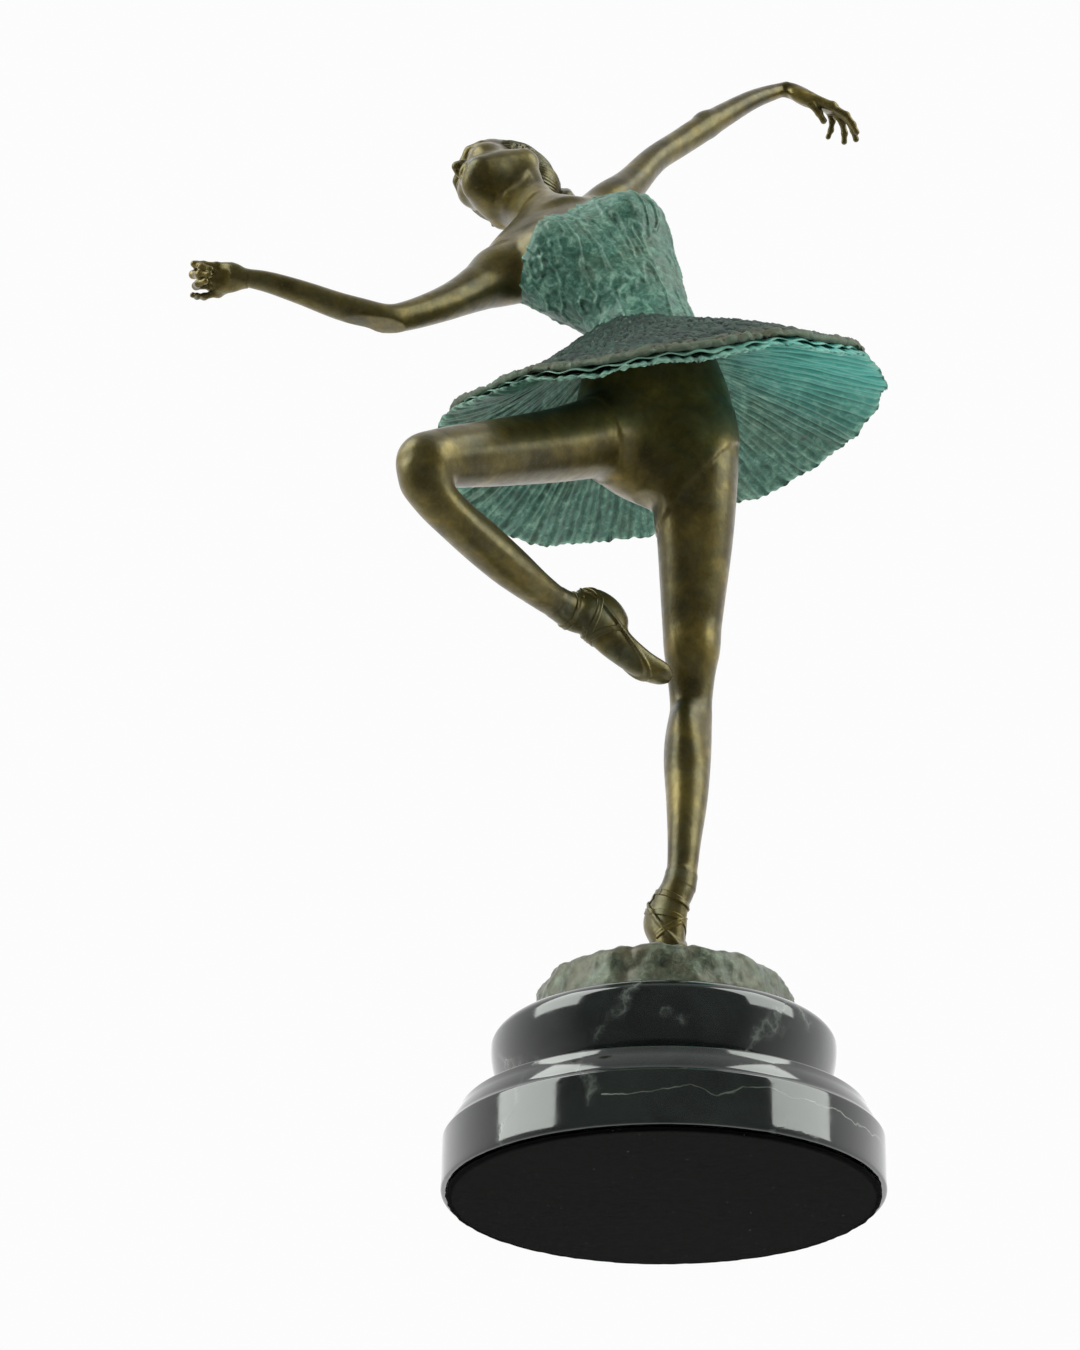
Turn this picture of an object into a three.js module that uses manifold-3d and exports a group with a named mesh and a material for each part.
// A bronze statuette of a ballet dancer on a turned black marble base.
// Millimetres, +Z up. The middle of the underside of the base is at the origin, and the dancer's
// pelvis faces -Y, with her own left side towards +X.
import * as THREE from 'three';
import { mergeVertices } from 'three/addons/utils/BufferGeometryUtils.js';
import Module from 'manifold-3d';

const wasm = await Module();
wasm.setup();

// ---------------------------------------------------------------- driving dimensions
const GAP = 0.3;              // clearance left between pieces that touch
const TURNED_SIDES = 56;      // facets round the marble, the felt and the rock
const LIMB_SIDES = 16;        // facets round an arm, a leg or the trunk
const PIN_SIDES = 12;

const PAD = { radius: 58.6, thickness: 1.0 };
const PLINTH = { radius: 60, top: 24.6, bevel: 0.6,
  edge: [[0, 15.7], [0.6, 16.3], [1, 16.9], [2.6, 20.1], [4.9, 23.4], [5.7, 24.6]] };  // inset, height
const COLLAR = { neck: [[44, 25], [43.4, 27]], coveFoot: [42.4, 30], coveSteps: 7, widest: [47.4, 42.5],
  roundSteps: 5, shoulder: [40, 47.2] };                                               // radius, height
const RECESS = { radius: 11, top: 9, sides: 40 };
const STUD = { radius: 2.5, bottom: 3.5, top: 54.5, sides: 20 };
const NUT = { radius: 5.6, height: 3.2, sides: 6 };
const WASHER = { radius: 8.5, thickness: 1.0, sides: 36 };
const ROCK = { top: 61.5, wall: 3, hollowRadius: 29.5, hollowSides: 48, hollowDrop: 2, bossRadius: 6.5,
  bossSides: 28, bossRaise: 1,
  wobble: [[0.45, 3, 0.7], [0.3, 5, 2.1], [0.35, 8, 4], [0.25, 13, 1.2]],  // size, times round, start
  rings: [[0, 36.5, 0.4, 0], [0.25, 35.9, 0.9, 0], [0.6, 34.3, 1.3, 0],    // share of the height, radius,
    [0.9, 33.5, 1.6, 1.1], [1, 31, 1.5, 1.02], [1, 18.4, 0.8, 0.6]] };     // unevenness outwards, upwards
const CUT_PAST = 1;               // how far a cutting tool runs past the face it opens
const TOE_BED_RADIUS = 30;        // the flat the standing toe is bedded on
const OVERSKIRT_REACH = 0.96;
const UNDERSKIRT_REACH = 1.04;
const SKIRT = {
  waist: [-8, -1.5, 271], waistRadius: 12.6, rimCentre: [-1.4, 1.5], rimRadius: 66.5, rimHeight: 244,
  waves: [[1, 14.3, 0.637], [2, 8, 0.25], [3, -2, 0.8]],          // times round the rim, height, start
  dips: [[2.9, 0.75, -5.5], [0.45, 0.6, -2.4], [1.55, 0.35, 2.8],  // direction, width, height
    [-0.55, 0.5, -3.2], [-2.6, 0.4, -2.5]],
  bell: 0.3, thickness: 1.5, layerStep: 3.6, ruffles: 11, ruffleHeight: 0.5, sides: 48, rings: 5,
};

const COLOURS = {
  bronze: { color: 0x5a4d2a, roughness: 0.42, metalness: 0.9 },
  verdigris: { color: 0x3f8f86, roughness: 0.8, metalness: 0.35 },
  hair: { color: 0x56603f, roughness: 0.55, metalness: 0.8 },
  rock: { color: 0x5f7a66, roughness: 0.75, metalness: 0.4 },
  marble: { color: 0x10130f, roughness: 0.12, metalness: 0.0 },
  felt: { color: 0x0b0c0b, roughness: 1.0, metalness: 0.0 },
  steel: { color: 0x9a9da0, roughness: 0.4, metalness: 1.0 },
};

// ---------------------------------------------------------------- the dancer's limbs
// Each row is one cross-section: centre x, y, z, then half-width, front depth and back depth.
const TRUNK = [
  [-3, -5, 214, 6, 5, 6],
  [-3, -5, 221, 16, 10, 13],
  [-3, -5, 232, 22.5, 12.5, 16],
  [-3, -5, 244, 23, 13.5, 15.5],
  [-4.5, -4, 260, 19.5, 13, 12.5],
  [-7.5, -2, 276, 15.3, 11.5, 11.5],
  [-12.3, 0, 287, 19.1, 12.5, 12],
  [-19.1, 3, 297, 24.9, 14, 12.5],
  [-25.6, 6.5, 306, 27.6, 13, 13],
  [-31.5, 11, 315.2, 27.8, 10.5, 12],
  [-36.5, 15.5, 322.6, 15.5, 8, 9.5],
  [-39, 18, 327, 7, 6, 7],
];
const TRUNK_SIDE = [
  [0, 1, 0, 0], [0.4, 1, 0.04, 0.1], [0.55, 0.95, 0.12, 0.28],
  [0.7, 0.8, 0.25, 0.52], [0.85, 0.7, 0.32, 0.62], [1, 0.66, 0.36, 0.66],
];
const BUST = { right: [-33.5, -2.5, 299.5], left: [-11.2, 3.5, 313.2], radius: 10.5 };

const NECK = [
  [-33, 13, 320, 10, 8, 9],
  [-37.5, 19.5, 328.5, 8, 7.6, 8],
  [-42.5, 26.5, 336.5, 7.5, 7.4, 7.8],
  [-46.5, 32.5, 344.5, 7.6, 7.8, 8],
  [-49, 37, 351.5, 6.5, 6.5, 6.5],
];
const HEAD = { centre: [-51.6, 38.5, 354.6], crown: [-0.1, 0.75, 0.65], face: [-0.93, -0.25, 0.27] };
// Distance up the head from its centre, half-width, depth to the face, depth to the nape.
const HEAD_ROWS = [
  [-19.5, 4, 13.5, -7], [-17.5, 6.5, 14.8, -3], [-13, 9.2, 15, 4], [-7, 11.3, 15.4, 12],
  [0, 12.8, 15.6, 16], [7, 13.3, 15.4, 17.5], [13, 11.6, 13, 15.5], [17.5, 7.8, 8.5, 11], [19.6, 3, 3, 5],
];
const BUN = { centre: [-33.5, 43.5, 348.5], radius: 7.6 };

const STANDING_FRONT = [0.78, -0.62, 0];
const STANDING_LEG = [
  [9, -5.5, 240, 11, 10, 12],
  [9.5, -5.5, 229, 12.5, 12.6, 13.2],
  [9.2, -4, 214, 12, 12.4, 12.2],
  [8.9, -1, 200, 11, 11.4, 10.8],
  [8.3, 3, 184, 9.5, 9.8, 9.2],
  [7.8, 7, 169.5, 8, 8.3, 7.7],
  [7.7, 10, 155.5, 6.3, 6.6, 6],
  [7.7, 10, 148, 6.1, 6.4, 6.2],
  [7.3, 8, 134.5, 6.6, 6, 7.6],
  [6.9, 5, 120.5, 5.8, 5.4, 6.6],
  [5.9, 2, 106.7, 4.8, 4.6, 5],
  [5.2, 1, 97, 4.3, 4.2, 4.5],
  [4.4, 0.5, 91, 4.3, 4.4, 4.8],
];
const STANDING_FOOT = [
  [5.1, 0.8, 96, 4.4, 4.4, 4.6],
  [4, 0.4, 91, 4.6, 4.8, 5.4],
  [1.6, 0.6, 86.5, 4.5, 6.2, 5.6],
  [0.9, 0.4, 81.5, 4.5, 5.9, 7.2],
  [1.4, 0, 75, 4.2, 4.6, 5.2],
  [1.6, 0, 68, 4.2, 4.2, 4],
  [1.6, 0, 62, 3.9, 4, 3.8],
  [1.6, 0, 60, 3, 3, 3],
];

const RAISED_THIGH = [
  [-10, -4, 238, 10.5, 9.5, 12],
  [-19, -12, 231, 11.8, 11, 12.5],
  [-31, -23.5, 221, 10.8, 10.4, 11],
  [-47, -40.5, 208.5, 9.6, 9.4, 9.6],
  [-60, -54, 199, 8.6, 8.6, 8.4],
  [-66.9, -61, 193.5, 7.5, 7.6, 7.4],
  [-69.6, -63.8, 191, 4.5, 4.5, 4.5],
];
const RAISED_SHANK = [
  [-69.2, -62.8, 192.5, 4, 4, 4],
  [-67, -60.2, 188.8, 6.9, 6.6, 6.6],
  [-63.5, -56, 184.3, 6.4, 5.9, 6.8],
  [-58.3, -50.4, 180.6, 6.2, 5.2, 7],
  [-51.3, -42.3, 177.2, 6.1, 5, 7.8],
  [-43.5, -34, 174.3, 5.6, 5.4, 7],
  [-35.5, -24.5, 172.6, 4.6, 5.2, 5.1],
  [-30, -17.5, 172, 4.2, 4.9, 4.3],
  [-27, -15, 171.7, 4.2, 5.2, 4.4],
];
const RAISED_FOOT = [
  [-31, -18.5, 172.2, 4.3, 4.9, 4.3],
  [-26, -13.7, 171.4, 4.5, 6.3, 5.6],
  [-21.4, -11.6, 170.9, 4.6, 7.7, 10.2],
  [-17.2, -10.1, 167.8, 4.7, 7.4, 9.6],
  [-13.3, -8.7, 163.6, 4.5, 6, 4.2],
  [-6.5, -6.3, 158.6, 4.1, 4.5, 2.9],
  [-0.5, -4.6, 155.8, 3.1, 2.8, 2.6],
  [1.6, -4.2, 154.6, 1.2, 1, 1],
];

const RIGHT_ARM = [
  [-40, 7, 303.4, 7, 7.4, 8],
  [-48, 2.5, 296.8, 8.2, 7.8, 9],
  [-55, -3.5, 289.2, 7.3, 6.8, 8],
  [-61, -9, 281.6, 5.8, 5.6, 6.3],
  [-67.5, -14.5, 274.6, 5, 4.7, 5.4],
  [-76, -20.5, 267.2, 4.4, 4.2, 4.6],
  [-82, -24, 263.8, 4.2, 4.2, 4.2],
  [-90, -26, 264.7, 4.3, 4.2, 4.1],
  [-97, -27, 266.5, 4.2, 4, 4],
  [-107, -29, 269.5, 3.8, 3.6, 3.6],
  [-117.5, -30, 272.7, 3.3, 3.1, 3.1],
  [-125, -30.5, 273.9, 3, 2.6, 2.6],
  [-128, -30.6, 274.1, 2.8, 2.4, 2.4],
];
const LEFT_ARM = [
  [-25, 17, 325, 6.5, 6.5, 8],
  [-17.6, 22.5, 336, 6.8, 6.8, 8],
  [-11, 28.5, 347.3, 5.4, 5.1, 5.8],
  [-3.4, 36, 361.9, 4.5, 4.3, 4.5],
  [5, 44, 374.1, 4.3, 4.3, 4.4],
  [11, 48.5, 382, 4.4, 4.3, 4.5],
  [17.5, 53, 390, 4.2, 4, 4.1],
  [29, 62, 404, 3.4, 3.2, 3.2],
  [38, 68.8, 412.8, 2.8, 2.5, 2.6],
  [41.7, 70, 414.6, 2.6, 2.3, 2.4],
];
const ARM_FRONT = [0, -0.45, 0.9];

// Hands: wrist, way the palm points, way its back faces, size and length of the palm. Each finger:
// place across the palm towards the thumb, three bones, radius, bend of each joint in degrees and
// how far it leans towards the thumb. The thumb's way is along, across and out of the palm.
const RIGHT_HAND = {
  wrist: [-124.6, -30.5, 273.3], along: [-0.87, 0.36, 0.21], back: [0, 0.87, 0.48], thumbSide: 1,
  size: 0.86, palm: 13.8,
  fingers: [
    { across: 4.1, bones: [6, 4.8, 3.6], radius: 1.35, bends: [60, 86, 40], lean: 14 },
    { across: 1.3, bones: [6.8, 5.2, 4], radius: 1.4, bends: [66, 80, 38], lean: 3 },
    { across: -1.9, bones: [6.4, 4.8, 3.8], radius: 1.35, bends: [62, 70, 34], lean: -10 },
    { across: -4.5, bones: [5.2, 4, 3.2], radius: 1.2, bends: [50, 36, 12], lean: -27 },
  ],
  thumb: { way: [0.95, 0.1, -0.28], bends: [0, 14, 12] },
};
const LEFT_HAND = {
  wrist: [43, 69.8, 413.9], along: [0.905, 0.16, -0.39], back: [0.39, -0.41, 0.82], thumbSide: -1,
  size: 0.92, palm: 17.8,
  fingers: [
    { across: 3.9, bones: [6, 4.2, 3.2], radius: 1.3, bends: [6, 24, 10], lean: 0 },
    { across: 1.3, bones: [6.6, 4.6, 3.4], radius: 1.35, bends: [12, 26, 12], lean: 0 },
    { across: -1.3, bones: [6.2, 4.2, 3.2], radius: 1.3, bends: [26, 28, 14], lean: 0 },
    { across: -3.7, bones: [5, 3.4, 2.8], radius: 1.15, bends: [44, 30, 14], lean: -2 },
  ],
  thumb: { way: [0.96, -0.06, -0.2], bends: [0, 12, 12] },
};
const PALM = { halfWidth: 5.2, halfDepth: 2.5, knuckleArc: 0.09 };
const THUMB = { bones: [5.5, 4.4, 3.4], radius: 1.5 };

// ---------------------------------------------------------------- vectors and solids
const vec = (a) => new THREE.Vector3(...a);

function solid(geometry) {
  const bare = geometry.index ? geometry.toNonIndexed() : geometry.clone();
  bare.deleteAttribute('normal');
  bare.deleteAttribute('uv');
  const merged = mergeVertices(bare, 1e-5);
  return new wasm.Manifold(new wasm.Mesh({
    numProp: 3,
    vertProperties: new Float32Array(merged.attributes.position.array),
    triVerts: new Uint32Array(merged.index.array),
  }));
}

function geometryOf(manifold) {
  const mesh = manifold.getMesh();
  const geometry = new THREE.BufferGeometry();
  const points = new Float32Array(mesh.numVert * 3);
  for (let i = 0; i < mesh.numVert; i += 1) {
    for (let k = 0; k < 3; k += 1) points[3 * i + k] = mesh.vertProperties[mesh.numProp * i + k];
  }
  geometry.setAttribute('position', new THREE.BufferAttribute(points, 3));
  geometry.setIndex(new THREE.BufferAttribute(new Uint32Array(mesh.triVerts), 1));
  geometry.computeVertexNormals();
  return geometry;
}

const union = (...solids) => solids.reduce((sum, next) => sum.add(next));

// Closes a stack of rings, each an array of points of equal length, into one outward-facing solid.
function skin(rings) {
  const sides = rings[0].length;
  const points = rings.flat();
  const middle = (ring) => ring.reduce((sum, p) => sum.add(p), new THREE.Vector3()).divideScalar(sides);
  points.push(middle(rings[0]), middle(rings[rings.length - 1]));
  const faces = [];
  for (let r = 0; r + 1 < rings.length; r += 1) {
    for (let i = 0; i < sides; i += 1) {
      const a = r * sides + i;
      const b = r * sides + ((i + 1) % sides);
      faces.push([a, b, b + sides], [a, b + sides, a + sides]);
    }
  }
  const first = points.length - 2;
  const last = (rings.length - 1) * sides;
  for (let i = 0; i < sides; i += 1) {
    const next = (i + 1) % sides;
    faces.push([first, next, i], [first + 1, last + i, last + next]);
  }
  let volume = 0;
  for (const [a, b, c] of faces) volume += points[a].dot(points[b].clone().cross(points[c]));
  const order = volume < 0 ? [0, 2, 1] : [0, 1, 2];
  const geometry = new THREE.BufferGeometry().setFromPoints(points);
  geometry.setIndex(faces.flatMap((face) => order.map((k) => face[k])));
  return solid(geometry);
}

// Rows of numbers smoothed by a Catmull-Rom spline, `steps` rows to a span.
function smoothRows(rows, steps) {
  const out = [];
  for (let i = 0; i + 1 < rows.length; i += 1) {
    const [a, b, c, d] = [-1, 0, 1, 2].map((k) => rows[Math.min(Math.max(i + k, 0), rows.length - 1)]);
    for (let s = 0; s < steps; s += 1) {
      const t = s / steps;
      out.push(b.map((_, k) => 0.5 * (2 * b[k] + (c[k] - a[k]) * t
        + (2 * a[k] - 5 * b[k] + 4 * c[k] - d[k]) * t * t
        + (3 * b[k] - a[k] - 3 * c[k] + d[k]) * t * t * t)));
    }
  }
  out.push(rows[rows.length - 1]);
  return out;
}

// A limb: elliptical sections along a curve, deeper in front or behind as the rows say.
// `hint(t)` gives the front direction, or the side direction where `hintIsSide` is set.
function limb(rows, hint, { grow = 0, steps = 2, sides = LIMB_SIDES, hintIsSide = false } = {}) {
  const smooth = smoothRows(rows, steps);
  const rings = smooth.map((row, i) => {
    const before = smooth[Math.max(i - 1, 0)];
    const after = smooth[Math.min(i + 1, smooth.length - 1)];
    const along = vec(after.slice(0, 3)).sub(vec(before.slice(0, 3))).normalize();
    const given = vec(hint(i / (smooth.length - 1)));
    given.addScaledVector(along, -given.dot(along)).normalize();
    const side = hintIsSide ? given : along.clone().cross(given);
    const front = hintIsSide ? given.clone().cross(along) : given;
    const [, , , width, ahead, behind] = row;
    return Array.from({ length: sides }, (_, k) => {
      const angle = (2 * Math.PI * k) / sides;
      const depth = (Math.sin(angle) > 0 ? ahead : behind) + grow;
      return vec(row.slice(0, 3))
        .addScaledVector(side, (width + grow) * Math.cos(angle))
        .addScaledVector(front, depth * Math.sin(angle));
    });
  });
  return skin(rings);
}

const always = (direction) => () => direction;

function rampedDirection(table) {
  return (t) => {
    const k = Math.max(0, table.findIndex((row) => row[0] >= t) - 1);
    const [from, to] = [table[k], table[Math.min(k + 1, table.length - 1)]];
    const share = to[0] > from[0] ? (t - from[0]) / (to[0] - from[0]) : 0;
    return [1, 2, 3].map((i) => from[i] + (to[i] - from[i]) * share);
  };
}

function ball(centre, radius, stretch = [1, 1, 1]) {
  const geometry = new THREE.SphereGeometry(radius, 20, 12);
  geometry.scale(...stretch);
  geometry.translate(...centre);
  return solid(geometry);
}

function rod(from, to, radius, sides = PIN_SIDES) {
  const axis = vec(to).sub(vec(from));
  const geometry = new THREE.CylinderGeometry(radius, radius, axis.length(), sides);
  geometry.rotateX(Math.PI / 2);
  geometry.applyQuaternion(new THREE.Quaternion().setFromUnitVectors(
    new THREE.Vector3(0, 0, 1), axis.clone().normalize()));
  geometry.translate(...vec(from).addScaledVector(axis, 0.5).toArray());
  return solid(geometry);
}

// Everything on the far side of a plane through `point`, in the direction of `normal`.
const HALF_SPACE = 700;
function beyond(point, normal, shift = 0) {
  const geometry = new THREE.BoxGeometry(HALF_SPACE, HALF_SPACE, HALF_SPACE);
  geometry.translate(0, 0, HALF_SPACE / 2 + shift);
  geometry.applyQuaternion(new THREE.Quaternion().setFromUnitVectors(
    new THREE.Vector3(0, 0, 1), vec(normal).normalize()));
  geometry.translate(...point);
  return solid(geometry);
}

// Cuts a limb off at a seam and takes the room it needs out of `parent`.
function cutLimb(parent, rows, hint, { at, way }) {
  const whole = limb(rows, hint);
  const child = whole.intersect(beyond(at, way));
  const stump = whole.subtract(beyond(at, way, -GAP));
  const room = limb(rows, hint, { grow: GAP }).intersect(beyond(at, way, -GAP));
  return { child, parent: parent.add(stump).subtract(room) };
}

function lathe(profile, sides = TURNED_SIDES) {
  const geometry = new THREE.LatheGeometry(profile.map(([r, z]) => new THREE.Vector2(r, z)), sides);
  geometry.rotateX(Math.PI / 2);
  return solid(geometry);
}

// ---------------------------------------------------------------- marble base and its fastening
function quarterRound(fromR, fromZ, toR, toZ, steps, bulge) {
  return Array.from({ length: steps + 1 }, (_, i) => {
    const t = (Math.PI / 2) * (i / steps);
    return bulge
      ? [toR + (fromR - toR) * Math.cos(t), fromZ + (toZ - fromZ) * Math.sin(t)]
      : [fromR + (toR - fromR) * Math.sin(t), toZ + (fromZ - toZ) * Math.cos(t)];
  });
}

function feltPad() {
  return lathe([[0, 0], [PAD.radius, 0], [PAD.radius, PAD.thickness], [0, PAD.thickness]]);
}

function plinth() {
  const { radius, top, bevel, edge } = PLINTH;
  const bottom = PAD.thickness + GAP;
  const blank = lathe([
    [0, bottom], [radius - bevel, bottom], [radius, bottom + bevel],
    ...edge.map(([inset, height]) => [radius - inset, height]), [0, top],
  ]);
  const recess = rod([0, 0, bottom - CUT_PAST], [0, 0, RECESS.top], RECESS.radius, RECESS.sides);
  const bore = rod([0, 0, 0], [0, 0, top + CUT_PAST], STUD.radius + GAP, STUD.sides);
  return blank.subtract(recess).subtract(bore);
}

function collar() {
  const { neck, coveFoot, coveSteps, widest, roundSteps, shoulder } = COLLAR;
  const blank = lathe([
    [0, neck[0][1]], ...neck,
    ...quarterRound(...coveFoot, ...widest, coveSteps, false).reverse(),
    ...quarterRound(...widest, ...shoulder, roundSteps, true).slice(1),
    [0, shoulder[1]],
  ]);
  return blank.subtract(rod([0, 0, 0], [0, 0, shoulder[1] + CUT_PAST], STUD.radius + GAP, STUD.sides));
}

function rock() {
  const wobble = (angle) => ROCK.wobble.reduce(
    (sum, [size, times, start]) => sum + size * Math.sin(times * angle + start), 0);
  const bottom = COLLAR.shoulder[1] + GAP;
  const height = ROCK.top - bottom;
  const blank = skin(ROCK.rings.map(([share, radius, outward, upward]) => Array.from(
    { length: TURNED_SIDES }, (_, i) => {
      const angle = (2 * Math.PI * i) / TURNED_SIDES;
      const r = radius + outward * wobble(angle);
      return new THREE.Vector3(r * Math.cos(angle), r * Math.sin(angle),
        bottom + height * share + upward * wobble(angle + 1));
    })));
  const ceiling = ROCK.top - ROCK.wall;
  const hollow = rod([0, 0, bottom - CUT_PAST], [0, 0, ceiling - ROCK.hollowDrop], ROCK.hollowRadius,
    ROCK.hollowSides);
  const boss = rod([0, 0, bottom + ROCK.bossRaise], [0, 0, ceiling], ROCK.bossRadius, ROCK.bossSides);
  const bore = rod([0, 0, 0], [0, 0, STUD.top + GAP], STUD.radius + GAP, STUD.sides);
  return blank.subtract(hollow).add(boss).subtract(bore);
}

function fastening() {
  const top = RECESS.top - GAP;
  const washerBottom = top - WASHER.thickness;
  const nutTop = washerBottom - GAP;
  const clearance = rod([0, 0, 0], [0, 0, PLINTH.top], STUD.radius + GAP, STUD.sides);
  return {
    stud: rod([0, 0, STUD.bottom], [0, 0, STUD.top], STUD.radius, STUD.sides),
    washer: rod([0, 0, washerBottom], [0, 0, top], WASHER.radius, WASHER.sides).subtract(clearance),
    nut: rod([0, 0, nutTop - NUT.height], [0, 0, nutTop], NUT.radius, NUT.sides).subtract(clearance),
  };
}

// ---------------------------------------------------------------- tutu
function rimHeightAt(angle) {
  const waves = SKIRT.waves.reduce((sum, [times, height, start]) => sum + height * Math.cos(times * angle - start), 0);
  return SKIRT.dips.reduce((sum, [centre, width, height]) => {
    const away = Math.atan2(Math.sin(angle - centre), Math.cos(angle - centre)) / width;
    return sum + height * Math.exp(-away * away);
  }, SKIRT.rimHeight + waves);
}

// A layer of the tutu, from the waist out towards the rim. `drop` lowers it and `reach` is how far
// out it goes as a share of the full flare.
function skirtLayer(drop, reach) {
  const [wx, wy, wz] = SKIRT.waist;
  const [cx, cy] = SKIRT.rimCentre;
  const surface = (angle, t, below) => {
    const ripple = SKIRT.ruffleHeight * t * t * Math.sin(SKIRT.ruffles * angle);
    const radius = SKIRT.waistRadius + (SKIRT.rimRadius - SKIRT.waistRadius) * t;
    const bell = SKIRT.bell * Math.cos(angle);
    const fall = (1 - bell) * t + bell * t ** 3;
    return new THREE.Vector3(
      wx + (cx - wx) * t + radius * Math.cos(angle),
      wy + (cy - wy) * t + radius * Math.sin(angle),
      wz + (rimHeightAt(angle) - wz) * fall - drop + ripple - below,
    );
  };
  const ring = (t, below) => Array.from({ length: SKIRT.sides },
    (_, i) => surface((2 * Math.PI * i) / SKIRT.sides, t, below));
  const shares = Array.from({ length: SKIRT.rings + 1 }, (_, i) => (reach * i) / SKIRT.rings);
  const topFace = shares.map((t) => ring(t, 0));
  const underFace = shares.reverse().map((t) => ring(t, SKIRT.thickness));
  return skin([...topFace, ...underFace]);
}

// ---------------------------------------------------------------- hands
function digit(start, way, back, bones, radius, bends) {
  const row = (point, r) => [...point.toArray(), r, r, r];
  const hinge = back.clone().cross(way).normalize();
  const point = start.clone();
  const heading = way.clone();
  const rows = [row(start.clone().addScaledVector(way, -1.2 * radius), radius)];
  bones.forEach((length, i) => {
    heading.applyAxisAngle(hinge, THREE.MathUtils.degToRad(bends[i]));
    rows.push(row(point, radius * (1 - 0.06 * i)));
    point.addScaledVector(heading, length);
  });
  rows.push(row(point, radius * 0.8), row(point.clone().addScaledVector(heading, radius * 0.6), radius * 0.3));
  return limb(rows, always(hinge.toArray()), { steps: 1, sides: 8 });
}

function hand({ wrist, along, back, thumbSide, size, palm, fingers, thumb }) {
  const ahead = vec(along).normalize();
  const outer = vec(back).addScaledVector(ahead, -vec(back).dot(ahead)).normalize();
  const across = outer.clone().cross(ahead).multiplyScalar(thumbSide);
  const place = (a, c, o) => vec(wrist).addScaledVector(ahead, a * size).addScaledVector(across, c * size)
    .addScaledVector(outer, o * size);
  const row = (point, w, d) => [...point.toArray(), w * size, d * size, d * size];
  const blade = limb([
    row(place(-1.5, 0, 0), 2.8, 2.4), row(place(2, 0, 0), 3.2, 2.5),
    row(place(palm * 0.55, 0.2, 0.3), PALM.halfWidth - 0.3, PALM.halfDepth),
    row(place(palm * 0.95, 0, 0.2), PALM.halfWidth + 0.2, PALM.halfDepth - 0.5),
    row(place(palm + 1.2, 0, -0.1), PALM.halfWidth - 1, 1),
  ], always(outer.toArray()), { steps: 1, sides: 12 });
  const digits = fingers.map((finger) => {
    const lean = THREE.MathUtils.degToRad(finger.lean * thumbSide);
    const root = place(palm - 0.5 - PALM.knuckleArc * (finger.across - 1.4) ** 2, finger.across, 0.2);
    const bones = finger.bones.map((bone) => bone * size);
    return digit(root, ahead.clone().applyAxisAngle(outer, lean), outer, bones, finger.radius * size, finger.bends);
  });
  const thumbWay = ahead.clone().multiplyScalar(thumb.way[0]).addScaledVector(across, thumb.way[1])
    .addScaledVector(outer, thumb.way[2]).normalize();
  const thumbBones = THUMB.bones.map((bone) => bone * size);
  const thumbDigit = digit(place(3.8, 3.8, -0.8), thumbWay, outer, thumbBones, THUMB.radius * size, thumb.bends);
  return union(blade, ...digits, thumbDigit);
}

// ---------------------------------------------------------------- head
function head() {
  const up = vec(HEAD.crown).normalize();
  const face = vec(HEAD.face);
  face.addScaledVector(up, -face.dot(up)).normalize();
  const rows = HEAD_ROWS.map(([height, width, front, back]) => {
    const middle = vec(HEAD.centre).addScaledVector(up, height).addScaledVector(face, (front - back) / 2);
    return [...middle.toArray(), width, (front + back) / 2, (front + back) / 2];
  });
  const skull = limb(rows, always(face.toArray()), { steps: 2, sides: 20 });
  return skull;
}

// ---------------------------------------------------------------- assembly
const trunkSide = rampedDirection(TRUNK_SIDE);
const trunk = (grow) => union(
  limb(TRUNK, trunkSide, { grow, sides: 24, hintIsSide: true }),
  ball(BUST.right, BUST.radius + grow), ball(BUST.left, BUST.radius + grow),
);

const neckHint = always([-0.5, -0.6, 0.1]);
const thighHint = always([-0.2, 0.1, 0.97]);
const shankHint = always([-0.5, -0.4, -0.6]);
const standingHint = always(STANDING_FRONT);
const armHint = always(ARM_FRONT);

// Joints between the castings: a point on each and the way it faces, away from the hips.
const SEAMS = {
  waist: { at: [-7, -2.5, 271], way: [-0.2, 0.1, 1] },
  raisedHip: { at: [-25.5, -18, 225.8], way: [-0.62, -0.6, -0.5] },
  standingHip: { at: [9.2, -3.5, 209], way: [0.05, 0.2, -1] },
  rightShoulder: { at: [-52.5, -1.6, 294], way: [-0.6, -0.42, -0.68] },
  leftShoulder: { at: [-16, 24.5, 340.5], way: [0.45, 0.45, 0.77] },
  neck: { at: [-41, 24.3, 334.3], way: [-0.42, 0.6, 0.68] },
  standingAnkle: { at: [5, 0.8, 95], way: [-0.2, -0.1, -1] },
  raisedAnkle: { at: [-31, -18.5, 172.5], way: [0.64, 0.76, -0.12] },
  rightWrist: { at: [-122.5, -30.3, 273.9], way: [-0.97, -0.04, 0.2] },
  leftWrist: { at: [37.2, 68.4, 411.6], way: [0.72, 0.52, 0.46] },
};

const rightArmCut = cutLimb(trunk(0), RIGHT_ARM, armHint, SEAMS.rightShoulder);
const leftArmCut = cutLimb(rightArmCut.parent, LEFT_ARM, armHint, SEAMS.leftShoulder);
const neckCut = cutLimb(leftArmCut.parent, NECK, neckHint, SEAMS.neck);
const raisedCut = cutLimb(neckCut.parent, RAISED_THIGH, thighHint, SEAMS.raisedHip);
const standingCut = cutLimb(raisedCut.parent, STANDING_LEG, standingHint, SEAMS.standingHip);

// The part of `shape` before a seam, or past it, half the clearance back from it.
const before = (shape, { at, way }) => shape.subtract(beyond(at, way, -GAP / 2));
const past = (shape, { at, way }) => shape.intersect(beyond(at, way, GAP / 2));

const hips = before(standingCut.parent, SEAMS.waist);
const bodice = past(standingCut.parent, SEAMS.waist);

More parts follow.
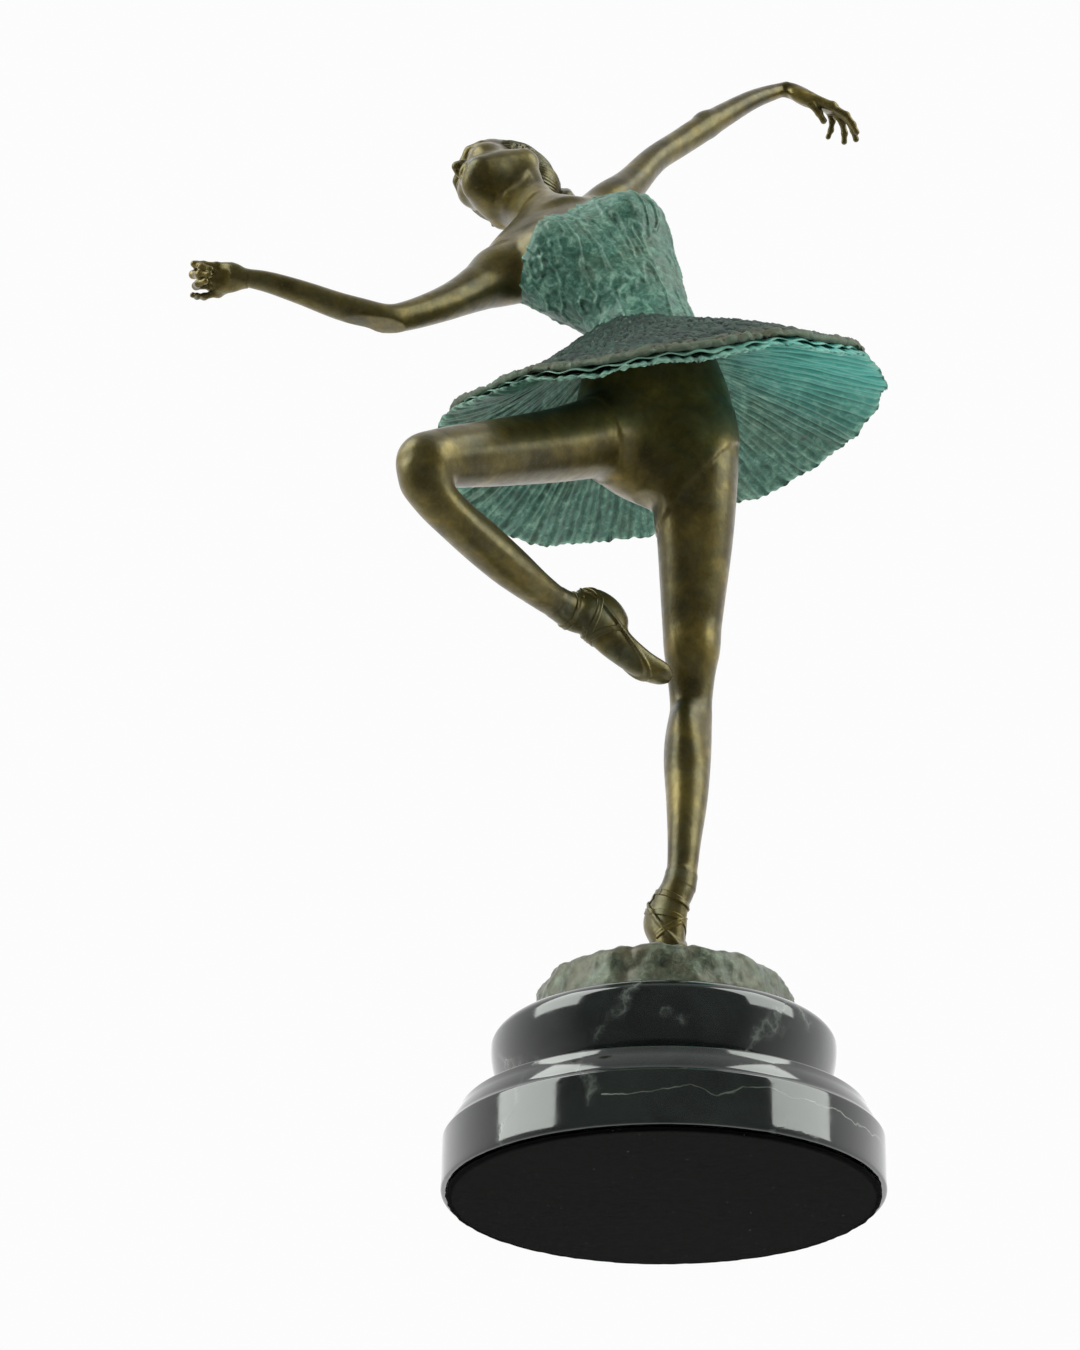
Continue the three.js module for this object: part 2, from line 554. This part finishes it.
// Dowels hidden in the joints: half-length and radius.
const DOWELS = {
  waist: { ...SEAMS.waist, reach: 7, radius: 3.2 },
  raised_hip: { ...SEAMS.raisedHip, reach: 6, radius: 2.6 },
  standing_hip: { ...SEAMS.standingHip, reach: 6, radius: 2.6 },
  right_shoulder: { ...SEAMS.rightShoulder, reach: 5, radius: 1.8 },
  left_shoulder: { ...SEAMS.leftShoulder, reach: 5, radius: 1.8 },
  neck: { ...SEAMS.neck, reach: 4.5, radius: 1.6 },
  toe: { at: [1.6, 0, 61.6], way: [0, 0, 1], reach: 4.4, radius: 1.6 },
};
const dowel = ({ at, way, reach, radius }, play = 0) => {
  const half = vec(way).setLength(reach + play);
  return rod(vec(at).sub(half).toArray(), vec(at).add(half).toArray(), radius + play);
};
const drill = (shape, ...names) => names.reduce((rest, name) => rest.subtract(dowel(DOWELS[name], GAP)), shape);

const standingLeg = before(standingCut.child, SEAMS.standingAnkle);
const toeBed = rod([0, 0, 0], [0, 0, ROCK.top + 2 * GAP], TOE_BED_RADIUS);
const standingFoot = past(limb(STANDING_FOOT, standingHint), SEAMS.standingAnkle).subtract(rock()).subtract(toeBed);
const raisedLeg = before(raisedCut.child.add(limb(RAISED_SHANK, shankHint)), SEAMS.raisedAnkle);
const raisedFoot = past(limb(RAISED_FOOT, shankHint), SEAMS.raisedAnkle)
  .subtract(limb(STANDING_LEG, standingHint, { grow: GAP }));

const headSolid = neckCut.child.add(head());
const roomForTrunk = trunk(GAP);
const skirtTop = skirtLayer(0, OVERSKIRT_REACH).subtract(roomForTrunk);
const skirtUnder = skirtLayer(SKIRT.layerStep, UNDERSKIRT_REACH).subtract(roomForTrunk);

const fixings = fastening();
const model = new THREE.Group();

function addPiece(name, shape, finish) {
  const mesh = new THREE.Mesh(geometryOf(shape), new THREE.MeshStandardMaterial(COLOURS[finish]));
  mesh.name = name;
  model.add(mesh);
}

addPiece('felt_pad', feltPad(), 'felt');
addPiece('marble_plinth', plinth(), 'marble');
addPiece('marble_collar', collar(), 'marble');
addPiece('bronze_ground', drill(rock(), 'toe'), 'rock');
addPiece('base_stud', fixings.stud, 'steel');
addPiece('base_washer', fixings.washer, 'steel');
addPiece('base_nut', fixings.nut, 'steel');
addPiece('standing_slipper', drill(standingFoot, 'toe'), 'bronze');
addPiece('standing_leg', drill(standingLeg, 'standing_hip'), 'bronze');
addPiece('raised_slipper', raisedFoot, 'bronze');
addPiece('raised_leg', drill(raisedLeg, 'raised_hip'), 'bronze');
addPiece('hips', drill(hips, 'waist', 'raised_hip', 'standing_hip'), 'bronze');
addPiece('bodice', drill(bodice, 'waist', 'right_shoulder', 'left_shoulder', 'neck'), 'verdigris');
addPiece('tutu_top', skirtTop, 'verdigris');
addPiece('tutu_under', skirtUnder, 'verdigris');
addPiece('right_arm', drill(before(rightArmCut.child, SEAMS.rightWrist), 'right_shoulder'), 'bronze');
addPiece('right_hand', past(hand(RIGHT_HAND), SEAMS.rightWrist), 'bronze');
addPiece('left_arm', drill(before(leftArmCut.child, SEAMS.leftWrist), 'left_shoulder'), 'bronze');
addPiece('left_hand', past(hand(LEFT_HAND), SEAMS.leftWrist), 'bronze');
addPiece('head', drill(headSolid.subtract(ball(BUN.centre, BUN.radius + GAP)), 'neck'), 'bronze');
addPiece('hair_bun', ball(BUN.centre, BUN.radius), 'hair');
for (const [name, pin] of Object.entries(DOWELS)) addPiece(`${name}_dowel`, dowel(pin), 'steel');

export default model;
